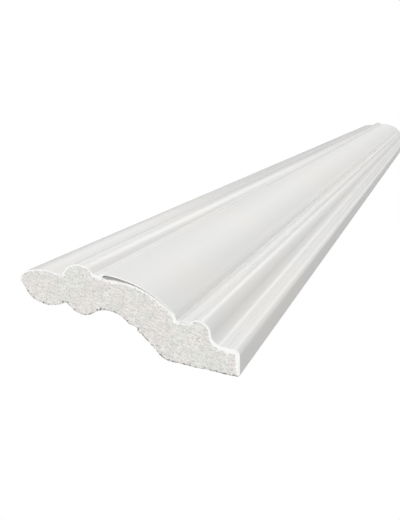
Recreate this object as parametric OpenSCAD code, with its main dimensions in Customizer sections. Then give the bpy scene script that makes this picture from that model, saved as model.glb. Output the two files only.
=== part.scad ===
// Crown moulding length: a foam core with a thin smooth film over its moulded face.
// The section is drawn with its flat back on the x axis, the nose at x = 0 and the
// side face at x = section_w. It is then laid on its back lobes and run along Y.

/* [Length and section] */
// Length of the piece, cut square at both ends
length = 1200; // [300:10:2400]
// Width of the section along its flat back, from the nose to the side face
section_w = 113; // [105:0.5:150]
// Height of the section, from the flat back to the crown of the large bead
section_h = 38.6; // [36:0.2:48]
// Thickness of the smooth film over the face
film_t = 0.5; // [0.3:0.1:0.8]

/* [Nose and lip, drops from the crown] */
// Height of the narrow land on the nose, which meets the ceiling
ceiling_land = 2; // [1.5:0.1:2.8]
// Drop to the top of the ceiling land
nose_drop = 11.2; // [10.5:0.1:12]
// How far under the ceiling land the film ends
hem_drop = 2.1; // [1.6:0.1:2.6]
// How far in from the nose the film ends
hem_in = 2.4; // [1.8:0.1:3]
// How far in from the nose the lip starts
shoulder_in = 5.6; // [4:0.1:7]
// Drop to the start of the lip
shoulder_drop = 7; // [6.6:0.1:8]
// Rise of the rounding between the land and the lip
shoulder_rise = 0.7; // [0.4:0.1:1.1]
// Rise of the gently crowned lip
lip_rise = 1.35; // [0.8:0.05:1.8]
// Width of the narrow groove between lip and bead
groove_w = 2.2; // [1.4:0.1:3]
// Drop to the groove
groove_drop = 6.6; // [5.4:0.1:7.4]

/* [Large bead] */
// Radius of the large bead
bead_r = 10.4; // [9.6:0.1:11.6]
// Distance of the bead's centre line from the nose
bead_in = 35.9; // [35:0.1:38]
// Drop from the crown to the fillet at the foot of the bead
fillet_drop = 3.5; // [2.8:0.1:4.2]
// Width of that fillet
fillet_w = 3.7; // [2.8:0.1:4.6]
// Height of the step from the fillet up to the sweep
fillet_step = 0.8; // [0.5:0.1:1.1]

/* [Sweep] */
// Distance of the sweep's foot from the side face
foot_in = 29.3; // [28.6:0.1:30.4]
// Height of the sweep's foot over the flat back
foot_h = 23; // [22.2:0.1:24]
// Width of the sweep's lower, rounder stretch
sweep_low_w = 18.2; // [15:0.1:20]
// Drop of the sweep's lower stretch
sweep_low_drop = 10.5; // [9:0.1:11.4]
// Rise of the lower stretch over its chord
sweep_low_rise = 1.25; // [0.9:0.05:1.5]

/* [Small bead and torus] */
// Width of the slanted side of the quirk under the sweep
quirk_w = 0.9; // [0.6:0.1:1.2]
// Height of the quirk over the flat back
quirk_h = 19.7; // [19.3:0.1:20.1]
// Rise of the small flat bead
small_bead_rise = 0.9; // [0.6:0.05:1.2]
// Radius of the torus
torus_r = 5.6; // [5.3:0.05:5.9]
// Distance of the torus's centre line from the side face
torus_in = 18.2; // [17.8:0.1:18.8]
// Height of the torus's centre line over the flat back
torus_h = 16.6; // [16.3:0.1:17]
// Drop from the small bead's right edge, on the torus, to the torus's crown
crease_drop = 2.15; // [1.9:0.05:2.4]
// Height of the upright stretch between the torus and the cove
torus_wall = 0.4; // [0.2:0.1:0.8]
// Width of the cove under the torus
cove_w = 4.1; // [3.4:0.1:4.4]
// How far the cove dips under its chord
cove_dip = 0.85; // [0.5:0.05:1.2]

/* [Land and side face] */
// Height of the outer land over the flat back
land_h = 12.3; // [11.9:0.1:12.7]
// Width of the inner land, next to the cove
inner_land_w = 2.8; // [2:0.1:3.4]
// Height of the fine step between the two lands
land_step = 0.4; // [0.3:0.05:0.6]
// Radius of the rounding between the land and the side face
edge_r = 2.5; // [2:0.1:3]
// Radius of the corner between the side face and the flat back
corner_r = 1.1; // [0.8:0.1:1.4]

/* [Back] */
// Distance of the flat back's inner end from the side face
flat_back_in = 31.6; // [28:0.1:33]
// Radius of the heel at the inner end of the flat back
heel_r = 9; // [8:0.1:10]
// Angle that the heel turns through
heel_turn = 48; // [42:1:52]
// Distance of the small step in the back from the side face
back_step_in = 48; // [47:0.1:50]
// Height of the lower edge of that step over the flat back
back_step_h = 11.6; // [10.6:0.1:12]
// Height of that step
back_step = 1.4; // [1:0.1:1.8]
// Drop from the crown to the inner end of the ledge that runs from the step to the arch
ledge_drop = 24.3; // [23.6:0.1:25]
// Width of the arch
arch_w = 18.5; // [15:0.1:20]
// Rise of the arch
arch_rise = 3.5; // [2.6:0.1:4.4]
// Distance from the nose to the place where the second lobe meets the arch
lobe_two_end = 42; // [40:0.1:43]
// Drop from the crown to that place
lobe_two_drop = 22.7; // [22:0.1:23.4]
// Distance from the nose to the notch between the lobes
notch_in = 27.9; // [26.6:0.1:29]
// Drop from the crown to the notch
notch_drop = 20.6; // [19.6:0.1:21]
// Width of the notch
notch_w = 2.3; // [1.4:0.1:2.6]
// Rise of the second lobe
lobe_two_rise = 2.8; // [2:0.1:3.2]
// Distance from the nose to the end of the first lobe
lobe_one_start = 6.9; // [6:0.1:8]
// Drop from the crown to the end of the first lobe
lobe_one_drop = 21.1; // [20:0.1:22]
// Rise of the first lobe
lobe_one_rise = 2.35; // [1.8:0.05:2.8]
// Rise of the rounding under the nose
under_nose_rise = 0.8; // [0.4:0.1:1.2]

/* [Hidden] */
// Largest turn of a round stretch between two neighbouring points
facet_turn = 5;

// Plane geometry. A path is a list of [x, z, rise]: the rise is how far the arc to the
// next point stands off its chord, positive outwards, which is left of the travel.
function point(p) = [p[0], p[1]];
function unit(v) = v / norm(v);
function turned_left(v) = [-v[1], v[0]];
function turn(v, a) = [v[0] * cos(a) - v[1] * sin(a), v[0] * sin(a) + v[1] * cos(a)];
function chord(p, q) = point(q) - point(p);
function outward(p, q) = turned_left(unit(chord(p, q)));
function middle(p, q) = (point(p) + point(q)) / 2;
function arc_turn(p, q) = 4 * atan(2 * p[2] / norm(chord(p, q)));
function arc_r(p, q) = norm(chord(p, q)) / (2 * sin(arc_turn(p, q) / 2));
function arc_centre(p, q) = middle(p, q) + outward(p, q) * (p[2] - arc_r(p, q));
function normal_start(p, q) = turn(outward(p, q), arc_turn(p, q) / 2);
function normal_end(p, q) = turn(outward(p, q), -arc_turn(p, q) / 2);

// Rise of an arc of radius r over the chord from p to q
function rise_of(r, p, q) = r - sqrt(pow(r, 2) - pow(norm(chord(p, q)) / 2, 2));
// Rise that makes the arc from p to q run into q with the given outward normal
function rise_into(p, q, normal) =
    let (v = chord(p, q))
    let (bend = atan2(v[1], v[0]) - atan2(-normal[0], normal[1]))
    norm(v) / 2 * tan(bend / 2);

// The points of a path from its vertex i up to, but not including, the next vertex
function arc_points(path, i) =
    let (p = path[i], q = path[(i + 1) % len(path)])
    let (steps = max(1, ceil(abs(arc_turn(p, q)) / facet_turn)))
    p[2] == 0 ? [point(p)] : [for (k = [0 : steps - 1])
        arc_centre(p, q) + turn(point(p) - arc_centre(p, q), -arc_turn(p, q) * k / steps)];
function points(path) = [for (i = [0 : len(path) - 1]) each arc_points(path, i)];

// The same path moved inwards by t, with its corners mitred
function inset_point(path, i, t) =
    let (last = len(path) - 1)
    let (before = i > 0 ? normal_end(path[i - 1], path[i]) : [0, 0])
    let (after = i < last ? normal_start(path[i], path[i + 1]) : [0, 0])
    point(path[i]) - t * (before + after) / (i > 0 && i < last ? 1 + before * after : 1);
function inset_rise(path, i, t) =
    let (p = path[i], q = path[i + 1])
    let (a = inset_point(path, i, t), b = inset_point(path, i + 1, t))
    p[2] == 0 ? 0
        : (middle(p, q) + outward(p, q) * (p[2] - t) - middle(a, b)) * outward(a, b);
function inset(path, t) = [for (i = [0 : len(path) - 1])
    let (p = inset_point(path, i, t))
    [p[0], p[1], i == len(path) - 1 ? 0 : inset_rise(path, i, t)]];
function backwards(path) = [for (i = [len(path) - 1 : -1 : 0])
    [path[i][0], path[i][1], i == 0 ? 0 : -path[i - 1][2]]];

// Heights and places worked out from the driving sizes
nose_top = section_h - nose_drop;
hem_h = nose_top - ceiling_land - hem_drop;
// Rise of the film's rounded turn under the nose
hem_rise = 0.35;
groove_h = section_h - groove_drop;
bead_h = section_h - bead_r;
fillet_h = section_h - fillet_drop;
bead_left = bead_in - sqrt(pow(bead_r, 2) - pow(groove_h - bead_h, 2));
bead_right = bead_in + sqrt(pow(bead_r, 2) - pow(fillet_h - bead_h, 2));
bead_rise = rise_of(bead_r, [bead_left, groove_h], [bead_right, fillet_h]);
// How far the groove and the fillet dip under their chords
groove_dip = 0.35;
fillet_dip = 0.25;
sweep_start = [bead_right + fillet_w, fillet_h + fillet_step];
sweep_foot = [section_w - foot_in, foot_h];
sweep_join = sweep_foot + [-sweep_low_w, sweep_low_drop];
join_normal = normal_start(concat(sweep_join, sweep_low_rise), sweep_foot);
torus_x = section_w - torus_in;
crease_h = torus_h + torus_r - crease_drop;
crease_x = torus_x - sqrt(pow(torus_r, 2) - pow(crease_h - torus_h, 2));
torus_side = torus_x + torus_r;
torus_rise = rise_of(torus_r, [crease_x, crease_h], [torus_side, torus_h]);
// Rise of a quarter circle's arc over its chord, for a radius of 1
quarter_rise = 1 - sqrt(0.5);
inner_land_h = land_h + land_step;
cove_end = torus_side + cove_w;
step_x = cove_end + inner_land_w;
// Width of the slanted step between the lands
step_slant = 0.3;
heel_x = section_w - flat_back_in;
heel_rise = heel_r * (1 - cos(heel_turn / 2));
heel_end = [heel_x - heel_r * sin(heel_turn), heel_r * (1 - cos(heel_turn))];
back_step_x = section_w - back_step_in;
// How far the hollow behind the heel and the notch dip under their chords
hollow_dip = 0.5;
notch_dip = 0.3;
arch_start = lobe_two_end + arch_w;

// The moulded face, from the film's end under the nose to its end at the flat back
face_path = [
    [hem_in, hem_h, hem_rise],
    [0, nose_top - ceiling_land, 0],
    [0, nose_top, shoulder_rise],
    [shoulder_in, section_h - shoulder_drop, lip_rise],
    [bead_left - groove_w, groove_h, -groove_dip],
    [bead_left, groove_h, bead_rise],
    [bead_right, fillet_h, -fillet_dip],
    [sweep_start[0] - fillet_step, fillet_h, 0],
    [sweep_start[0], sweep_start[1], rise_into(sweep_start, sweep_join, join_normal)],
    [sweep_join[0], sweep_join[1], sweep_low_rise],
    [sweep_foot[0], sweep_foot[1], 0],
    [sweep_foot[0] + quirk_w, quirk_h, small_bead_rise],
    [crease_x, crease_h, torus_rise],
    [torus_side, torus_h, 0],
    [torus_side, torus_h - torus_wall, -cove_dip],
    [cove_end, inner_land_h, 0],
    [step_x, inner_land_h, 0],
    [step_x + step_slant, land_h, 0],
    [section_w - edge_r, land_h, edge_r * quarter_rise],
    [section_w, land_h - edge_r, 0],
    [section_w, corner_r, 0]
];

// The bare foam back, from the side face to the film's end under the nose
back_path = [
    [section_w, corner_r, corner_r * quarter_rise],
    [section_w - corner_r, 0, 0],
    [heel_x, 0, heel_rise],
    [heel_end[0], heel_end[1], -hollow_dip],
    [back_step_x, back_step_h, 0],
    [back_step_x, back_step_h + back_step, 0],
    [arch_start, section_h - ledge_drop, -arch_rise],
    [lobe_two_end, section_h - lobe_two_drop, lobe_two_rise],
    [notch_in, section_h - notch_drop, -notch_dip],
    [notch_in - notch_w, section_h - notch_drop + notch_dip, lobe_one_rise],
    [lobe_one_start, section_h - lobe_one_drop, under_nose_rise],
    [hem_in, hem_h, 0]
];

film_inside = inset(face_path, film_t);
core_path = concat(back_path, film_inside);
film_path = concat(face_path, backwards(film_inside));

// Rest pose: face up, on the round undersides of the first lobe and the heel
function back_centre(i) = arc_centre(back_path[i], back_path[i + 1]);
function back_r(i) = arc_r(back_path[i], back_path[i + 1]);
heel_i = 2;
lobe_one_i = 9;
between = back_centre(heel_i) - back_centre(lobe_one_i);
lean = asin((back_r(heel_i) - back_r(lobe_one_i)) / norm(between));
rest_tilt = lean - atan2(between[1], between[0]);
laid_points = [for (p = concat(points(core_path), points(film_path))) turn(p, rest_tilt)];
rest_left = min([for (p = laid_points) p[0]]);
rest_right = max([for (p = laid_points) p[0]]);
rest_base = min([for (p = laid_points) p[1]]);

// A closed path laid in the rest pose and run along Y
module run_along(path) {
    translate([-(rest_left + rest_right) / 2, 0, -rest_base])
        rotate([90, 0, 0])
            linear_extrude(length, center = true)
                polygon([for (p = points(path)) turn(p, rest_tilt)]);
}

module foam_core() {
    color("whitesmoke")
        run_along(core_path);
}

module face_film() {
    color("white")
        run_along(film_path);
}

foam_core();
face_film();
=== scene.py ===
# %% [markdown]
# # A length of crown moulding
# The real thing is a bar of extruded foam with a thin glossy film over its moulded face. Its near end is
# a fresh cut: it shows the foam's cells, the white edge of the film, and a place along the broad sweep
# where the film has come away from the foam.
#
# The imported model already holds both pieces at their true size, so every outline here is read from it.
# Blender's work is what a drawing of the section can't say: how the creases are softened, what the cut
# did to the foam, and how film and foam take the light.

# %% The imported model
import math

import bmesh
import bpy
import numpy as np
from mathutils import Matrix, Vector, geometry, kdtree, noise


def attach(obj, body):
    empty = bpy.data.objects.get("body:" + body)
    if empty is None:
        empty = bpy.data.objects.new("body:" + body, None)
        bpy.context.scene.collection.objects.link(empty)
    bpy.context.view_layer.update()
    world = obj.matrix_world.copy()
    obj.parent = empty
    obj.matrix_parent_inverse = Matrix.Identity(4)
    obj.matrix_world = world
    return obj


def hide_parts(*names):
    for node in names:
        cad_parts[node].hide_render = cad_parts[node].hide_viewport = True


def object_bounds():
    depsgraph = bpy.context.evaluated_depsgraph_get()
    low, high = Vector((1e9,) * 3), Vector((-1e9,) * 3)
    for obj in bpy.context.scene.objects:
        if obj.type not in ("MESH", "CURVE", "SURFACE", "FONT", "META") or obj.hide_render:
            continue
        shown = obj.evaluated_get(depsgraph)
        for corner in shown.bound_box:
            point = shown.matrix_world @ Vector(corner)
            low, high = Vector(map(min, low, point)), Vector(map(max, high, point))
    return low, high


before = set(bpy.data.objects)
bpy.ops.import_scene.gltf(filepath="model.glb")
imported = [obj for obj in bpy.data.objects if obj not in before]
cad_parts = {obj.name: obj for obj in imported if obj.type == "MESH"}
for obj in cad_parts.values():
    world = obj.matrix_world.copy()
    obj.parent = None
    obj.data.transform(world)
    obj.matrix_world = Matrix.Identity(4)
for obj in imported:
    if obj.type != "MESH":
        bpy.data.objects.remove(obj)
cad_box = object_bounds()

MM = 0.001
low, high = cad_box
near_y, far_y = low.y, high.y
length = far_y - near_y
print("piece, mm:", [round(float(side) / MM, 2) for side in high - low])

# %% [markdown]
# ## The camera
# It looks down along the piece from above its near end, with a slight roll, so that the cut end is large
# and the length runs away to the upper right. Three turns set its direction, and its place is measured
# from the middle of the near end. A wide lens gives the strong taper.

# %% Camera
camera_place = Vector((93.04, -168.75, 128.32)) * MM
camera_drop = math.radians(23.33)
camera_turn = math.radians(20.33)
camera_roll = math.radians(12.28)
camera_lens = 34.615

camera = bpy.data.objects.new("camera", bpy.data.cameras.new("camera"))
bpy.context.scene.collection.objects.link(camera)
camera.data.lens = camera_lens
camera.data.sensor_width = 36
camera.data.clip_start = 0.01
camera.matrix_world = (
    Matrix.Translation(Vector((0, near_y, 0)) + camera_place)
    @ Matrix.Rotation(camera_turn, 4, "Z")
    @ Matrix.Rotation(math.pi / 2 - camera_drop, 4, "X")
    @ Matrix.Rotation(camera_roll, 4, "Z")
)
bpy.context.scene.camera = camera
print("camera at, m:", [round(part, 3) for part in camera.location])

# %% [markdown]
# ## The section's lines
# Both pieces are straight runs of one section, so the near end of each holds its whole outline. An
# outline edge lies on the end and has exactly one of its two faces there. Points that only the film has
# make the moulded face, points that only the foam has make the bare back, and the rest is the line
# where the two meet.

# %% Reading the outlines
SAME = 0.002 * MM


def end_ring(node):
    """The outline of a node's near end as rows of x and z, counter-clockwise as the camera sees it."""
    mesh = bmesh.new()
    mesh.from_mesh(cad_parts[node].data)
    bmesh.ops.remove_doubles(mesh, verts=mesh.verts, dist=SAME)
    on_end = {v for v in mesh.verts if abs(v.co.y - near_y) < SAME}
    neighbours = {}
    for edge in mesh.edges:
        caps = [face for face in edge.link_faces if on_end.issuperset(face.verts)]
        if on_end.issuperset(edge.verts) and len(caps) == 1:
            for here, there in (edge.verts, reversed(edge.verts)):
                neighbours.setdefault(here, []).append(there)
    walk = [next(iter(neighbours))]
    walk.append(neighbours[walk[0]][0])
    while walk[-1] != walk[0]:
        walk.append(next(v for v in neighbours[walk[-1]] if v != walk[-2]))
    ring = np.array([(v.co.x, v.co.z) for v in walk[:-1]])
    mesh.free()
    ahead = np.roll(ring, -1, axis=0)
    area = np.sum(ring[:, 0] * ahead[:, 1] - ahead[:, 0] * ring[:, 1]) / 2
    return ring if area > 0 else ring[::-1]


def alone_first(ring, other):
    """The ring turned so that its points which the other ring lacks start at 1, and their number."""
    alone = np.array([np.hypot(*(other - point).T).min() > SAME for point in ring])
    start = next(i for i in range(len(ring)) if alone[i] and not alone[i - 1])
    return np.roll(ring, 1 - start, axis=0), int(alone.sum())


film_ring, foam_ring = end_ring("face_film"), end_ring("foam_core")
film_ring, face_count = alone_first(film_ring, foam_ring)
foam_ring, back_count = alone_first(foam_ring, film_ring)
face_corners = film_ring[: face_count + 2][::-1]
seam_corners = film_ring[face_count + 2 :]
back_corners = foam_ring[: back_count + 2]
print("corners: face", len(face_corners), "seam", len(seam_corners), "back", len(back_corners))

# %% [markdown]
# ## Softer lines
# The outlines come as short flats. Neighbouring flats of one length belong to one arc, so a tangent half
# a bend to either side of each gives the arc back. A small blur along the line then rounds the creases,
# as a film stretched over foam does, and those small rounds catch the light in fine lines.

# %% Smoothing and spacing
FINE = 0.05 * MM


def along(line):
    """The distance of each point from the start of its line."""
    return np.r_[0, np.cumsum(np.hypot(*np.diff(line, axis=0).T))]


def resample(line, places):
    """Points of a line at the given distances along it."""
    at = along(line)
    return np.stack([np.interp(places, at, line[:, k]) for k in (0, 1)], axis=1)


def soft_line(corners, rounding):
    """A fine line through the corners of flats, with its arcs true and its creases rounded."""
    step = np.diff(corners, axis=0)
    size = np.hypot(*step.T)
    heading = np.unwrap(np.arctan2(step[:, 1], step[:, 0]))
    bend = np.diff(heading)
    one_arc = np.abs(np.diff(size)) < 0.005 * size[1:]
    after, before = np.r_[one_arc, False], np.r_[False, one_arc]
    turn = np.where(after, np.r_[bend, 0], np.where(before, np.r_[0, bend], 0))
    pieces = []
    for k in range(len(step)):
        t = np.arange(0, 1, FINE / size[k])[:, None]
        start, end = heading[k] - turn[k] / 2, heading[k] + turn[k] / 2
        leave = size[k] * np.array([math.cos(start), math.sin(start)])
        arrive = size[k] * np.array([math.cos(end), math.sin(end)])
        pieces.append(
            (2 * t**3 - 3 * t**2 + 1) * corners[k]
            + (t**3 - 2 * t**2 + t) * leave
            + (3 * t**2 - 2 * t**3) * corners[k + 1]
            + (t**3 - t**2) * arrive
        )
    line = np.vstack(pieces + [corners[-1:]])
    line = resample(line, np.linspace(0, along(line)[-1], 1 + round(along(line)[-1] / FINE)))
    return blurred(line, rounding)


def blurred(line, rounding):
    """A fine line blurred along itself, with its ends held."""
    reach = math.ceil(3 * rounding / FINE)
    weights = np.exp(-0.5 * (np.arange(-reach, reach + 1) * FINE / rounding) ** 2)
    weights /= weights.sum()
    before = 2 * line[0] - line[reach:0:-1]
    beyond = 2 * line[-1] - line[-2 : -reach - 2 : -1]
    padded = np.vstack([before, line, beyond])
    return np.stack([np.convolve(padded[:, k], weights, "valid") for k in (0, 1)], axis=1)


def softened(line, middle, reach, rounding):
    """A fine line with one of its creases rounded more, where the film bridges a sharp hollow."""
    share = np.exp(-(((along(line) - middle) / reach) ** 2))[:, None]
    return line + (blurred(line, rounding) - line) * share


def tree_of(points):
    """A tree that finds the nearest of some points of x and z."""
    tree = kdtree.KDTree(len(points))
    for index, (x, z) in enumerate(points):
        tree.insert((x, z, 0), index)
    tree.balance()
    return tree


def spaced(line, longest, sharpest):
    """Points along a fine line, no further apart than longest and closer where it bends."""
    step = np.diff(line, axis=0)
    heading = np.unwrap(np.arctan2(step[:, 1], step[:, 0]))
    bend = np.abs(np.convolve(np.gradient(heading), np.ones(5) / 5, "same")) / FINE
    density = np.maximum(1 / longest, bend / sharpest)
    total = np.r_[0, np.cumsum(density * np.hypot(*step.T))]
    return resample(line, np.interp(np.linspace(0, total[-1], math.ceil(total[-1])), total, along(line)))


def fitted(line):
    """The line stretched by a hair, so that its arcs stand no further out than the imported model."""
    corners = np.vstack([face_corners, back_corners])
    soft = np.vstack([soft_face, soft_back])
    scale = np.ptp(corners, axis=0) / np.ptp(soft, axis=0)
    return corners.min(axis=0) + (line - soft.min(axis=0)) * scale


def normals(line, blur):
    """Unit vectors out of the top of a line that runs from the nose to the side face, blurred along it."""
    at = along(line)
    step = np.gradient(line, axis=0)
    square = np.stack([-step[:, 1], step[:, 0]], axis=1) / np.hypot(*step.T)[:, None]
    near = np.exp(-0.5 * ((at[:, None] - at[None]) / blur) ** 2) * np.gradient(at)
    soft = near @ square
    return soft / np.hypot(*soft.T)[:, None]


point_spacing = 0.42 * MM
point_turn = math.radians(5)
crease_rounding = 0.16 * MM
seam_rounding = 0.1 * MM
# the fillet's step and the quirk: place along the face, reach of the softening and its rounding, mm
soft_creases = ((58.3, 1.6, 0.5), (101.6, 2.0, 0.8))
# how much the seam's points follow even spacing instead of the nearest place
seam_evenness = 0.06

soft_face = soft_line(face_corners, crease_rounding)
for crease in soft_creases:
    middle, reach, rounding = (size * MM for size in crease)
    soft_face = softened(soft_face, middle, reach, rounding)
soft_back = soft_line(back_corners, crease_rounding)
soft_seam = soft_line(seam_corners, seam_rounding)
face_line = spaced(fitted(soft_face), point_spacing, point_turn)
back_line = spaced(fitted(soft_back), point_spacing, point_turn)

# the seam gets one point for each point of the face: its nearest place, always further along
soft_seam = fitted(soft_seam)
seam_tree = tree_of(soft_seam)
nearest = np.array([seam_tree.find((x, z, 0))[1] for x, z in face_line], float)
nearest = np.maximum.accumulate(nearest) * FINE
nearest[0], nearest[-1] = 0, along(soft_seam)[-1]
even = along(face_line) / along(face_line)[-1] * nearest[-1]
seam_places = (1 - seam_evenness) * nearest + seam_evenness * even
seam_line = resample(soft_seam, np.maximum.accumulate(seam_places))
face_at = along(face_line)
print("points: face", len(face_line), "seam", len(seam_line), "back", len(back_line))
print("face from the nose's underside to the side's foot, mm:", round(face_at[-1] / MM, 1))

# %% [markdown]
# ## Rings along the length
# A straight run needs few rings, but the cut ends need many: whatever the saw did fades out within a few
# millimetres, and the loose film within about two centimetres. The distances from an end grow by a
# steady ratio until they reach the spacing of the plain run.

# %% Stations
first_step = 0.14 * MM
step_growth = 1.32
plain_step = 42 * MM
# the far end is plainer, so its rings start wider and grow faster over a short stretch
far_first_step = 3 * first_step
far_growth = 2.2
far_reach = 15 * MM
near_margin = 20 * MM


def distances(first, growth, last, reach):
    """Distances from an end, growing by a ratio until their steps are last long, as far as reach."""
    found, step = [0.0], first
    while found[-1] + step < reach:
        found.append(found[-1] + step)
        step = min(step * growth, last)
    return np.array(found)


from_near = distances(first_step, step_growth, plain_step, length - near_margin)
from_far = distances(far_first_step, far_growth, plain_step, far_reach)
depths = np.r_[from_near, length - from_far[::-1]]
print("rings:", len(depths))

# %% [markdown]
# ## What the cut did
# Four things change near the cut end, each a named depth that fades with distance from the cut:
# the film's edge is smeared thicker in the hollows and down the side, the foam has sunk away under the
# loose film along the sweep and under the small bead, the foam's bare edge has crumbled, and the cut
# itself is not quite flat. All of them go inwards, so nothing leaves the piece's true size. Places along
# the face are measured from its edge under the nose.

# %% Cut end
def ragged(a, b, scale, seed):
    """Smooth noise from about -1 to 1 over two sets of coordinates, with bumps of about scale."""
    pairs = zip(np.ravel(a / scale), np.ravel(b / scale))
    values = [noise.noise(Vector((u, v, 7.3 * seed))) for u, v in pairs]
    return np.array(values).reshape(np.shape(a))


def ragged_along(at, scale, seed):
    """Smooth noise from about -1 to 1 along one line."""
    return ragged(at, 0 * at, scale, seed)


def faded(values, reach, power=1.0):
    """Values at the cut for each place, times how far they have faded at each depth from it."""
    return values[None, :] * np.exp(-((depths[:, None] / reach) ** power))


def profile(at, *knots):
    """A broken line of (place in mm, value in mm) knots, read at each place."""
    places, values = np.array(knots).T * MM
    return np.interp(at, places, values)


grid_at, grid_depth = np.meshgrid(face_at, depths)

# thickness that the smeared film adds to itself, towards the foam
smear = profile(
    face_at, (0, 0), (4, 0.25), (12, 0.2), (30, 0.05), (34, 0.15), (52.5, 0.2), (55, 1.0), (57.5, 1.5),
    (59.3, 0.8), (60.6, 0.05), (62, 0.0), (98, 0.0), (102, 0.15), (108, 0.1), (112, 0.1), (120, 0.3),
    (124, 0.9), (127, 1.5), (130.5, 1.7), (133, 1.2), (135, 0.9), (138, 0.7), (144, 0.5), (146.6, 0.0)
)
smear_reach = 1.6 * MM
coarse_smear, fine_smear = ragged_along(face_at, 0.9 * MM, 1), ragged_along(face_at, 0.4 * MM, 2)
smear = faded(np.maximum(smear * (1 + 0.55 * coarse_smear + 0.3 * fine_smear), 0), smear_reach)

# how far the foam has sunk under the loose film
loose = profile(
    face_at, (59, 0), (60, 1.2), (61.6, 1.75), (65, 1.5), (69, 1.15), (73, 0.7), (78, 0.35), (88, 0.18),
    (96, 0.12), (98.4, 0.0), (101.6, 0.0), (103.2, 0.16), (106.5, 0.14), (108, 0.0)
)
loose_reach, loose_power = 8 * MM, 1.4
loose = faded(loose, loose_reach, loose_power)
# torn foam under the loose film: it starts where the film is well clear, and fades slowly
frill_mean, frill_swing, frill_scale = 0.1 * MM, 0.16 * MM, 0.8 * MM
frill_reach, frill_full = 5 * MM, 0.3 * MM
frill = np.clip(frill_swing * ragged(grid_at, grid_depth, frill_scale, 3) + frill_mean, 0, None)
frill = frill * np.exp(-grid_depth / frill_reach) * np.clip(loose / frill_full, 0, 1)
# hair's breadth between foam and film, so that their faces never coincide
seam_gap = 0.02 * MM

# bare edge of the foam, crumbled where the saw left it
back_at = along(back_line)
crumble_depth, crumble_reach = 0.55 * MM, 0.45 * MM
crumbs = np.clip(ragged_along(back_at, 0.7 * MM, 4) + 0.25, 0, 1) ** 1.5
crumbs = crumbs + 0.5 * np.clip(ragged_along(back_at, 2.3 * MM, 5), 0, 1)
crumble = faded(crumble_depth * crumbs, crumble_reach)
# nothing crumbles right where the back meets the film
kept_width = 1.2 * MM
ends_kept = np.clip(np.minimum(back_at, back_at[-1] - back_at) / kept_width, 0, 1)
crumble = crumble * ends_kept[None, :]

# the foam's skin is never quite even
ripple_depth, ripple_scale = 0.05 * MM, 21 * MM
back_grid, back_depth = np.meshgrid(back_at, depths)
ripple = ripple_depth * (1 + ragged(back_grid, back_depth, ripple_scale, 6)) * ends_kept[None, :]
print("film stands clear of the foam by up to, mm:", round(float(loose.max()) / MM, 2))

# %% [markdown]
# ## The film
# The film is a closed shell: a ring of face points and seam points at each station, joined by quads, and
# a strip across its thickness at each end. Building the shell directly keeps the face exactly on the
# section's line, which a Solidify modifier would not. Edges of the cut keep their own faces, because cut
# film is matt and bright where its face is glossy.

# %% Mesh builder and film
normal_blur = 0.6 * MM
# the film's cut edge waves in and out a little, in waves of this depth, length and reach
wave_depth, wave_scale, wave_reach = 0.07 * MM, 1.1 * MM, 0.5 * MM


def plane_points(line, offset):
    """Rings of x and z: a line moved inwards by an offset given for each station and point."""
    return line[None] - normals(line, normal_blur)[None] * offset[:, :, None]


def tube_faces(rings, count):
    """Quads between rings of a closed outline, with their normals outwards for a clockwise outline."""
    faces = []
    for ring in range(rings - 1):
        a, b = ring * count, (ring + 1) * count
        faces += [(a + k, a + (k + 1) % count, b + (k + 1) % count, b + k) for k in range(count)]
    return faces


def new_piece(name, points, faces, materials, wears, sharp_angle):
    """A mesh object from points and faces, where wears gives each face's material number."""
    mesh = bpy.data.meshes.new(name)
    mesh.from_pydata([tuple(p) for p in points], [], faces)
    for material in materials:
        mesh.materials.append(material)
    mesh.polygons.foreach_set("material_index", wears)
    mesh.shade_smooth()
    mesh.set_sharp_from_angle(angle=sharp_angle)
    piece = bpy.data.objects.new(name, mesh)
    bpy.context.scene.collection.objects.link(piece)
    triangles = sum(len(face) - 2 for face in faces)
    print(name, "points", len(points), "triangles", triangles, "closed", is_closed(mesh))
    return piece


def is_closed(mesh):
    """True if every edge of a mesh has exactly two faces."""
    uses = np.zeros(len(mesh.edges), int)
    loops = np.zeros(len(mesh.loops), int)
    mesh.loops.foreach_get("edge_index", loops)
    np.add.at(uses, loops, 1)
    return bool(np.all(uses == 2))


def film_mesh():
    """Points, faces and material numbers of the film."""
    rings, half = len(depths), len(face_line)
    outer = plane_points(face_line, np.zeros((rings, half)))
    inner = plane_points(seam_line, smear)
    plane = np.concatenate([outer, inner[:, ::-1]], axis=1)
    count = 2 * half
    place = np.concatenate([face_at, face_at[::-1]])
    edge_wave = wave_depth * (1 + ragged(place, 0 * place + 0.3 * MM, wave_scale, 8))
    y = near_y + depths[:, None] + edge_wave[None, :] * np.exp(-depths[:, None] / wave_reach)
    points = np.stack([plane[:, :, 0], y, plane[:, :, 1]], axis=2).reshape(-1, 3)
    faces = tube_faces(rings, count)
    wears = [0] * len(faces)
    last = (rings - 1) * count
    for k in range(half - 1):
        near = (k, count - 1 - k, count - 2 - k, k + 1)
        faces.append(near)
        faces.append(tuple(last + v for v in reversed(near)))
        wears += [1, 1]
    return points, faces, wears


# %% [markdown]
# ## The foam
# The foam is a tube of rings too, closed by two caps. A cap that shows cells needs its own fine net of
# points: a jittered grid, joined up with the outline by a constrained Delaunay triangulation, which
# fills an outline of any shape with even triangles. Voronoi noise then gives each point its depth: the
# walls between cells stand up to the cut, and the cells are opened bowls.

# %% Foam caps
cell_size = 0.95 * MM
bowl_depth = 0.3 * MM
# without a seed of its own, the vector noise that bends the cells would follow the clock
cell_seed = 1
noise.seed_set(cell_seed)


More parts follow.
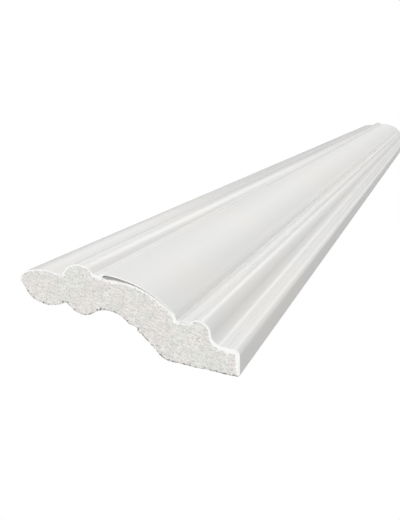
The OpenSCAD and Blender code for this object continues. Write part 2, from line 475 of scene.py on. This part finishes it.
def cell_depth(x, z, size, deep):
    """How deep the cut lies at a point: 0 on a wall between cells, and deep in the middle of one."""
    place = Vector((x, z, 0)) / size
    place += 0.35 * noise.noise_vector(place * 0.7)
    near, next_near = noise.voronoi(place)[0][:2]
    return deep * min(1.0, 1.6 * max(0.0, next_near - near)) * (0.6 + 0.6 * noise.noise(place * 0.4))


def inside(points, ring):
    """Which points lie within a closed outline, by counting the edges to their right."""
    x, z = points.T
    found = np.zeros(len(points), bool)
    for (x0, z0), (x1, z1) in zip(ring, np.roll(ring, -1, axis=0)):
        if z0 != z1:
            crosses = (z0 > z) != (z1 > z)
            found ^= crosses & (x < (x1 - x0) * (z - z0) / (z1 - z0) + x0)
    return found


def cap_net(ring, spacing, seed):
    """Points within a ring on a jittered grid, and the triangles that join them with the ring's own."""
    lowest, highest = ring.min(axis=0), ring.max(axis=0)
    row = spacing * math.sqrt(3) / 2
    columns = np.arange(lowest[0], highest[0], spacing)
    rows = np.arange(lowest[1], highest[1], row)
    grid = np.array([(x + (j % 2) * spacing / 2, z) for j, z in enumerate(rows) for x in columns])
    grid += np.random.default_rng(seed).uniform(-0.2, 0.2, grid.shape) * spacing
    grid = grid[inside(grid, ring)]
    tree = tree_of(ring)
    grid = grid[[tree.find((x, z, 0))[2] > 0.62 * spacing for x, z in grid]]
    everything = [Vector(p) for p in np.vstack([ring, grid])]
    outline = [(k, (k + 1) % len(ring)) for k in range(len(ring))]
    points, _, faces, origin, _, _ = geometry.delaunay_2d_cdt(everything, outline, [], 1, 1e-9)
    number = [source[0] for source in origin]
    return grid, [tuple(number[v] for v in face) for face in faces]


# %% Foam mesh
net_spacing = 0.3 * MM
far_spacing = 0.5 * MM
recess_reach = 1.0 * MM
# the far end's cells are cut half as deep
far_share = 0.5
# the bands fade over this width at their edge, and end this far behind the cut
band_edge, band_end = 0.3 * MM, 3 * MM
# width of the white band where the foam is pressed, along the torn edge under the loose film
crushed_band = profile(
    face_at, (56, 0), (58.5, 1.0), (64, 1.5), (75, 1.15), (97, 1.05), (101, 1.1), (107, 0.8), (109, 0.2),
    (121, 0.3), (134, 0.4), (136, 0.8), (144, 0.7), (146.4, 0.3)
)
# width of the band of painted shade along the bare back's edge, where cells are torn open
torn_shade_band = 0.42 * MM * (1 + 1.5 * ragged_along(back_at, 1.1 * MM, 9))


def foam_mesh():
    """Points, faces and material numbers of the foam, and how crushed each point is and how much painted
    shade of torn cells it takes.
    """
    rings, bare, count = len(depths), len(back_line), len(back_line) + len(seam_line)
    under = seam_gap + smear + loose + frill
    back = plane_points(back_line, -crumble - ripple)
    seam = plane_points(seam_line, under)
    plane = np.concatenate([back, seam[:, ::-1]], axis=1)
    near_cut = np.array([cell_depth(x, z, cell_size, bowl_depth) for x, z in plane[0]])
    far_cut = far_share * np.array([cell_depth(x, -z, cell_size, bowl_depth) for x, z in plane[-1]])
    y = near_y + depths[:, None] + near_cut[None] * np.exp(-depths[:, None] / recess_reach)
    y -= far_cut[None] * np.exp(-(length - depths[:, None]) / recess_reach)
    points = [np.stack([plane[:, :, 0], y, plane[:, :, 1]], axis=2).reshape(-1, 3)]
    faces = [face[::-1] for face in tube_faces(rings, count)]
    wears = [0] * len(faces)
    made = rings * count
    for ring, spacing, flip, seed in ((0, net_spacing, False, 1), (rings - 1, far_spacing, True, 2)):
        net, triangles = cap_net(plane[ring], spacing, seed)
        number = np.r_[ring * count + np.arange(count), made + np.arange(len(net))]
        sign = -1 if flip else 1
        deep = np.array([cell_depth(x, sign * z, cell_size, bowl_depth) for x, z in net])
        y_net = far_y - far_share * deep if flip else near_y + deep
        points.append(np.stack([net[:, 0], y_net, net[:, 1]], axis=1))
        faces += [tuple(int(number[v]) for v in (face[::-1] if flip else face)) for face in triangles]
        wears += [1] * len(triangles)
        made += len(net)
    points = np.vstack(points)
    crushed = edge_band(points, plane[0][bare:][::-1], crushed_band, 0.9, 0.8 * MM)
    # painted shade along the torn back edge of the cut, as a share for each point
    torn_and_shade = edge_band(points, plane[0][:bare], torn_shade_band, 1.6, 0.9 * MM)
    return points, faces, wears, crushed, torn_and_shade


def edge_band(points, edge, width, unevenness, scale):
    """How much each point near the cut belongs to a band along an edge, of a width given along it."""
    tree = tree_of(edge)
    found = np.zeros(len(points))
    for index, point in enumerate(points):
        if point[1] < near_y + band_end:
            _, place, away = tree.find((point[0], point[2], 0))
            wide = width[place] * (1 + unevenness * noise.noise(Vector(point) / scale))
            found[index] = min(1.0, max(0.0, (wide - away) / band_edge))
    return found


# %% [markdown]
# ## Finishes
# Four finishes, all drawn by rules in the piece's own coordinates, so that they lie still on it and have
# their true scale: the glossy film, the matt white edge where it is cut, the foam's cells, and the foam's
# closed skin. What they share is built once as node groups: cells, lines drawn out along the
# length by the die, and broad faint clouds of tint.

# %% Node helpers
def add_node(tree, kind, inputs=None, **settings):
    """A new node: settings are its own options, and inputs are numbers to set or sockets to link."""
    made = tree.nodes.new("ShaderNode" + kind)
    for name, value in settings.items():
        setattr(made, name, value)
    for name, value in (inputs or {}).items():
        if isinstance(value, bpy.types.NodeSocket):
            tree.links.new(value, made.inputs[name])
        else:
            made.inputs[name].default_value = value
    return made


def new_group(name, inputs, outputs):
    """A node group with named sockets, and its two end nodes."""
    group = bpy.data.node_groups.new(name, "ShaderNodeTree")
    for label, kind, value in inputs:
        socket = group.interface.new_socket(label, in_out="INPUT", socket_type="NodeSocket" + kind)
        if value is not None:
            socket.default_value = value
    for label, kind in outputs:
        group.interface.new_socket(label, in_out="OUTPUT", socket_type="NodeSocket" + kind)
    return group, group.nodes.new("NodeGroupInput").outputs, group.nodes.new("NodeGroupOutput").inputs


def use_group(tree, group, inputs):
    """A node group put to use: its outputs."""
    return add_node(tree, "Group", inputs, node_tree=group).outputs


def worked(tree, operation, *values):
    """A Math node's result."""
    return add_node(tree, "Math", dict(enumerate(values)), operation=operation).outputs[0]


def worked_vector(tree, operation, first, second, output="Vector"):
    """A Vector Math node's result."""
    made = add_node(tree, "VectorMath", {0: first, 1: second}, operation=operation)
    return made.outputs[output]


def mapped(tree, value, ends, to, **settings):
    """A value mapped from one pair of ends to another."""
    numbers = {"Value": value, "From Min": ends[0], "From Max": ends[1], "To Min": to[0], "To Max": to[1]}
    return add_node(tree, "MapRange", numbers, **settings).outputs[0]


def blended(tree, share, first, second, blend="MIX"):
    """Two colours blended by a share."""
    colours = {"Fac": share, "Color1": first, "Color2": second}
    return add_node(tree, "MixRGB", colours, blend_type=blend).outputs[0]


def cells_group():
    """Closed cells: walls between them, a random shade for each, and their height."""
    group, given, out = new_group(
        "foam cells",
        [("Place", "Vector", None), ("Cells per metre", "Float", 1000.0), ("Wall", "Float", 0.12)],
        [("Walls", "Float"), ("Shade", "Float"), ("Height", "Float")],
    )
    wobble = add_node(group, "TexNoise", {"Vector": given["Place"], "Scale": 900.0, "Detail": 2.0})
    shift = worked_vector(group, "MULTIPLY", wobble.outputs["Color"], (0.5 * MM,) * 3)
    place = worked_vector(group, "ADD", given["Place"], shift)
    voronoi = {"Vector": place, "Scale": given["Cells per metre"]}
    edge = add_node(group, "TexVoronoi", voronoi, feature="DISTANCE_TO_EDGE")
    cell = add_node(group, "TexVoronoi", voronoi, feature="F1")
    wall = mapped(
        group, edge.outputs["Distance"], (0.0, given["Wall"]), (1.0, 0.0), interpolation_type="SMOOTHSTEP"
    )
    shade = add_node(group, "SeparateColor", {"Color": cell.outputs["Color"]})
    group.links.new(wall, out["Walls"])
    group.links.new(shade.outputs[0], out["Shade"])
    group.links.new(edge.outputs["Distance"], out["Height"])
    return group


def lines_group():
    """Fine lines drawn out along the length, as a mask of streaks that also serves as their height."""
    group, given, out = new_group(
        "drawn lines",
        [("Place", "Vector", None), ("Lines per metre", "Float", 900.0), ("Length", "Float", 0.25)],
        [("Streaks", "Float")],
    )
    part = add_node(group, "SeparateXYZ", {0: given["Place"]})
    slow = worked(group, "DIVIDE", part.outputs["Y"], given["Length"])
    slow = worked(group, "DIVIDE", slow, given["Lines per metre"])
    place = add_node(group, "CombineXYZ", {"X": part.outputs["X"], "Y": slow, "Z": part.outputs["Z"]})
    lines = add_node(
        group, "TexNoise",
        {"Vector": place.outputs[0], "Scale": given["Lines per metre"], "Detail": 3.0, "Roughness": 0.6},
    )
    group.links.new(lines.outputs["Fac"], out["Streaks"])
    return group


def clouds_group():
    """Broad faint clouds that drift between two tints."""
    group, given, out = new_group(
        "tint clouds",
        [("Place", "Vector", None), ("Clouds per metre", "Float", 30.0),
         ("Cool", "Color", (0.8, 0.8, 0.8, 1)), ("Warm", "Color", (0.8, 0.79, 0.77, 1))],
        [("Color", "Color")],
    )
    cloud = add_node(
        group, "TexNoise", {"Vector": given["Place"], "Scale": given["Clouds per metre"], "Detail": 2.0}
    )
    soft = mapped(group, cloud.outputs["Fac"], (0.35, 0.65), (0.0, 1.0), interpolation_type="SMOOTHSTEP")
    group.links.new(blended(group, soft, given["Cool"], given["Warm"]), out["Color"])
    return group


foam_cells, drawn_lines, tint_clouds = cells_group(), lines_group(), clouds_group()


# %% Materials
def new_material(name):
    """A material with an empty tree, its Principled shader, and its own coordinates."""
    material = bpy.data.materials.new(name)
    material.use_nodes = True
    tree = material.node_tree
    tree.nodes.clear()
    shader = add_node(tree, "BsdfPrincipled")
    add_node(tree, "OutputMaterial", {"Surface": shader.outputs[0]})
    place = add_node(tree, "TexCoord").outputs["Object"]
    return material, tree, shader, place


def clouded(tree, place, per_metre, cool, warm):
    """Broad clouds between two tints."""
    tints = {"Place": place, "Clouds per metre": per_metre, "Cool": (*cool, 1), "Warm": (*warm, 1)}
    return use_group(tree, tint_clouds, tints)["Color"]


def bump(tree, shader, height, distance, strength):
    """Relief from a height, on the shader's normal."""
    made = add_node(tree, "Bump", {"Height": height, "Distance": distance, "Strength": strength})
    tree.links.new(made.outputs[0], shader.inputs["Normal"])


def film_face():
    """Glossy white film: faint warm and cool clouds, and die lines in its gloss and surface."""
    material, tree, shader, place = new_material("film face")
    tint = clouded(tree, place, 14.0, (0.835, 0.84, 0.83), (0.86, 0.845, 0.82))
    tree.links.new(tint, shader.inputs["Base Color"])
    streaks = use_group(tree, drawn_lines, {"Place": place, "Lines per metre": 700.0, "Length": 0.3})
    rough = mapped(tree, streaks["Streaks"], (0.3, 0.7), (0.16, 0.26))
    dull = add_node(tree, "Attribute", attribute_name="dull").outputs["Fac"]
    tree.links.new(worked(tree, "MULTIPLY_ADD", dull, 0.2, rough), shader.inputs["Roughness"])
    bump(tree, shader, streaks["Streaks"], 0.03 * MM, 0.5)
    return material


def film_cut():
    """The film's cut edge: matt, brighter than the face, and slightly torn."""
    material, tree, shader, place = new_material("film cut")
    tint = clouded(tree, place, 400.0, (0.95, 0.955, 0.95), (0.97, 0.965, 0.95))
    tree.links.new(tint, shader.inputs["Base Color"])
    torn_and_shade = add_node(tree, "TexNoise", {"Vector": place, "Scale": 2500.0, "Detail": 2.0})
    bump(tree, shader, torn_and_shade.outputs["Fac"], 0.1 * MM, 0.6)
    shader.inputs["Roughness"].default_value = 0.6
    return material


def foam_cut():
    """Opened cells: bright thin walls, tints from cell to cell, saw marks, painted shade in small pits,
    and painted shade along the torn edge.
    """
    material, tree, shader, place = new_material("foam cut")
    broad = clouded(tree, place, 80.0, (0.805, 0.817, 0.782), (0.847, 0.801, 0.787))
    cells = use_group(tree, foam_cells, {"Place": place, "Cells per metre": 1300.0, "Wall": 0.2})
    shade = mapped(tree, cells["Shade"], (0.0, 1.0), (0.78, 1.08))
    colour = blended(tree, 1.0, broad, shade, "MULTIPLY")
    colour = blended(tree, cells["Walls"], colour, (0.9, 0.89, 0.85, 1))

    # the saw's marks run across the section
    drawn = worked_vector(tree, "MULTIPLY", place, (0.22, 1.0, 1.0))
    marks = add_node(
        tree, "TexNoise", {"Vector": drawn, "Scale": 1300.0, "Detail": 3.0, "Roughness": 0.65}
    )
    sawn = mapped(tree, marks.outputs["Fac"], (0.32, 0.68), (0.8, 1.09))
    colour = blended(tree, 1.0, colour, sawn, "MULTIPLY")

    # painted shade: small dark specks where tiny pits in the cut would lie in shade
    shaded_pits = add_node(tree, "TexNoise", {"Vector": place, "Scale": 1100.0, "Detail": 1.0})
    pit_shade = mapped(tree, shaded_pits.outputs["Fac"], (0.29, 0.36), (0.65, 0.0))
    colour = blended(tree, pit_shade, colour, (0.4, 0.39, 0.36, 1))

    # pressed white under the film, and painted shade where cells are torn open along the bare back
    for label, tint in (("crushed", (0.97, 0.965, 0.945, 1)), ("torn_and_shade", (0.2, 0.19, 0.17, 1))):
        share = add_node(tree, "Attribute", attribute_name=label).outputs["Fac"]
        colour = blended(tree, share, colour, tint)
    tree.links.new(colour, shader.inputs["Base Color"])
    bump(tree, shader, cells["Height"], 0.4 * MM, 0.6)
    shader.inputs["Roughness"].default_value = 0.75
    return material


def foam_skin():
    """The closed skin of the back: matt and pebbled over its cells, with faint die lines."""
    material, tree, shader, place = new_material("foam skin")
    broad = clouded(tree, place, 25.0, (0.74, 0.75, 0.74), (0.77, 0.75, 0.73))
    cells = use_group(tree, foam_cells, {"Place": place, "Cells per metre": 700.0, "Wall": 0.3})
    streaks = use_group(tree, drawn_lines, {"Place": place, "Lines per metre": 450.0, "Length": 0.12})
    shade = mapped(tree, cells["Shade"], (0.0, 1.0), (0.95, 1.03))
    colour = blended(tree, 1.0, broad, shade, "MULTIPLY")
    tree.links.new(colour, shader.inputs["Base Color"])
    height = worked(tree, "ADD", cells["Height"], streaks["Streaks"])
    bump(tree, shader, height, 0.2 * MM, 0.5)
    shader.inputs["Roughness"].default_value = 0.55
    return material


# %% Pieces
crease_angle = math.radians(40)


def add_amounts(piece, label, amounts):
    """Gives each point of a piece an amount that its materials can read."""
    layer = piece.data.attributes.new(label, "FLOAT", "POINT")
    layer.data.foreach_set("value", amounts.astype(np.float32))


points, faces, wears = film_mesh()
film_skin = new_piece("film_skin", points, faces, [film_face(), film_cut()], wears, crease_angle)
# the film is duller over the sweep and the small bead; its underside keeps its gloss
dull = profile(face_at, (56, 0), (62, 1), (94, 1), (98, 0), (103.5, 0), (105, 1), (108, 0)) / MM
add_amounts(film_skin, "dull", np.tile(np.concatenate([dull, 0 * dull]), len(depths)))
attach(film_skin, "root")
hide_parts("face_film")

points, faces, wears, crushed, torn_and_shade = foam_mesh()
foam_body = new_piece("foam_body", points, faces, [foam_skin(), foam_cut()], wears, crease_angle)
add_amounts(foam_body, "crushed", crushed)
# painted shade along the torn back edge of the cut
add_amounts(foam_body, "torn_and_shade", torn_and_shade)
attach(foam_body, "root")
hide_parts("foam_core")

# %% [markdown]
# ## Floor and light
# A plain pale floor under the piece, and soft light all round. Light Path lets the world be plain white
# behind the piece and still light it unevenly, which is what shows its form.

# %% Floor
floor_half = 4.0

floor_mesh = bpy.data.meshes.new("floor")
floor_corners = [(-1, -1), (1, -1), (1, 1), (-1, 1)]
floor_points = [(floor_half * x, floor_half * y, low.z) for x, y in floor_corners]
floor_mesh.from_pydata(floor_points, [], [(0, 1, 2, 3)])
floor = bpy.data.objects.new("floor", floor_mesh)
bpy.context.scene.collection.objects.link(floor)


def floor_finish():
    """A matt pale floor that the camera sees as plain white."""
    material = bpy.data.materials.new("floor")
    material.use_nodes = True
    tree = material.node_tree
    tree.nodes.clear()
    matt = add_node(tree, "BsdfDiffuse", {"Color": (0.6, 0.6, 0.6, 1)})
    plain = add_node(tree, "Emission", {"Color": (1, 1, 1, 1), "Strength": 1.0})
    seen = add_node(tree, "LightPath").outputs["Is Camera Ray"]
    mixed = add_node(tree, "MixShader", {0: seen, 1: matt.outputs[0], 2: plain.outputs[0]})
    add_node(tree, "OutputMaterial", {"Surface": mixed.outputs[0]})
    return material


floor_mesh.materials.append(floor_finish())

# %% [markdown]
# One long soft box stands behind the piece, to the left of its far end: on a run of one section it shows
# as a bright band along each round, on the large bead, the sweep, the torus and the rounded edge. Weaker
# glows come from the left and, least of all, from the right, and a strong low one from the near side
# lights the cut.

# %% World
def soft_box_group():
    """A long soft patch of light in the sky: 1 at its middle, fading across it and at its ends."""
    group, given, out = new_group(
        "soft box",
        [("Direction", "Vector", None), ("Middle", "Vector", None), ("Long way", "Vector", None),
         ("Half length", "Float", 0.3), ("Half width", "Float", 0.15)],
        [("Light", "Float")],
    )
    direction, middle, long_way = given["Direction"], given["Middle"], given["Long way"]
    short_way = worked_vector(group, "CROSS_PRODUCT", middle, long_way)
    ahead = worked_vector(group, "DOT_PRODUCT", direction, middle, "Value")
    light = worked(group, "GREATER_THAN", ahead, 0.0)
    for axis, half in ((long_way, given["Half length"]), (short_way, given["Half width"])):
        away = worked_vector(group, "DOT_PRODUCT", direction, axis, "Value")
        share = worked(group, "DIVIDE", away, half)
        fall = worked(group, "POWER", 0.5, worked(group, "MULTIPLY", share, share))
        light = worked(group, "MULTIPLY", light, fall)
    group.links.new(light, out["Light"])
    return group


def glow_group():
    """A broad glow round one direction: 1 there, and falling by a power of the angle's cosine."""
    group, given, out = new_group(
        "glow",
        [("Direction", "Vector", None), ("Middle", "Vector", None), ("Power", "Float", 4.0)],
        [("Light", "Float")],
    )
    facing = worked_vector(group, "DOT_PRODUCT", given["Direction"], given["Middle"], "Value")
    fall = worked(group, "POWER", worked(group, "MAXIMUM", facing, 0.0), given["Power"])
    group.links.new(fall, out["Light"])
    return group


def heading(azimuth, elevation):
    """A unit vector from degrees: azimuth 0 is the far end and 90 the side face's side."""
    turn, lift = math.radians(azimuth), math.radians(elevation)
    return Vector((math.cos(lift) * math.sin(turn), math.cos(lift) * math.cos(turn), math.sin(lift)))


base_light = 0.34
# azimuth, elevation, power and strength of each broad glow
glows = (
    (-60, 30, 6, 0.45),
    (-40, 7, 40, 0.7),
    (25, 8, 10, 0.45),
    (180, 5, 8, 3.2),
    (180, 60, 4, 0.95),
    (90, 25, 6, 0.28),
)
# the soft box behind the piece, from its high left end to its low right end
box_left, box_right = heading(-40, 40), heading(-4, 21)
box_half_width = 0.11
box_strength = 2.6

world = bpy.data.worlds.new("studio")
bpy.context.scene.world = world
world.use_nodes = True
tree = world.node_tree
tree.nodes.clear()
direction = add_node(tree, "TexCoord").outputs["Generated"]
total = add_node(tree, "Value").outputs[0]
total.default_value = base_light
glow = glow_group()
for azimuth, elevation, power, strength in glows:
    aim = {"Direction": direction, "Middle": heading(azimuth, elevation), "Power": power}
    total = worked(tree, "MULTIPLY_ADD", use_group(tree, glow, aim)["Light"], strength, total)
box_span = box_right - box_left
box_light = use_group(tree, soft_box_group(), {
    "Direction": direction,
    "Middle": (box_left + box_right).normalized(),
    "Long way": box_span.normalized(),
    "Half length": box_span.length / 2,
    "Half width": box_half_width,
})
total = worked(tree, "MULTIPLY_ADD", box_light["Light"], box_strength, total)
lit = add_node(tree, "Background", {"Color": (1, 1, 1, 1), "Strength": total})
shown = add_node(tree, "Background", {"Color": (1, 1, 1, 1), "Strength": 1.0})
seen = add_node(tree, "LightPath").outputs["Is Camera Ray"]
both = add_node(tree, "MixShader", {0: seen, 1: lit.outputs[0], 2: shown.outputs[0]})
add_node(tree, "OutputWorld", {"Surface": both.outputs[0]})
bpy.context.scene.view_settings.view_transform = "Standard"
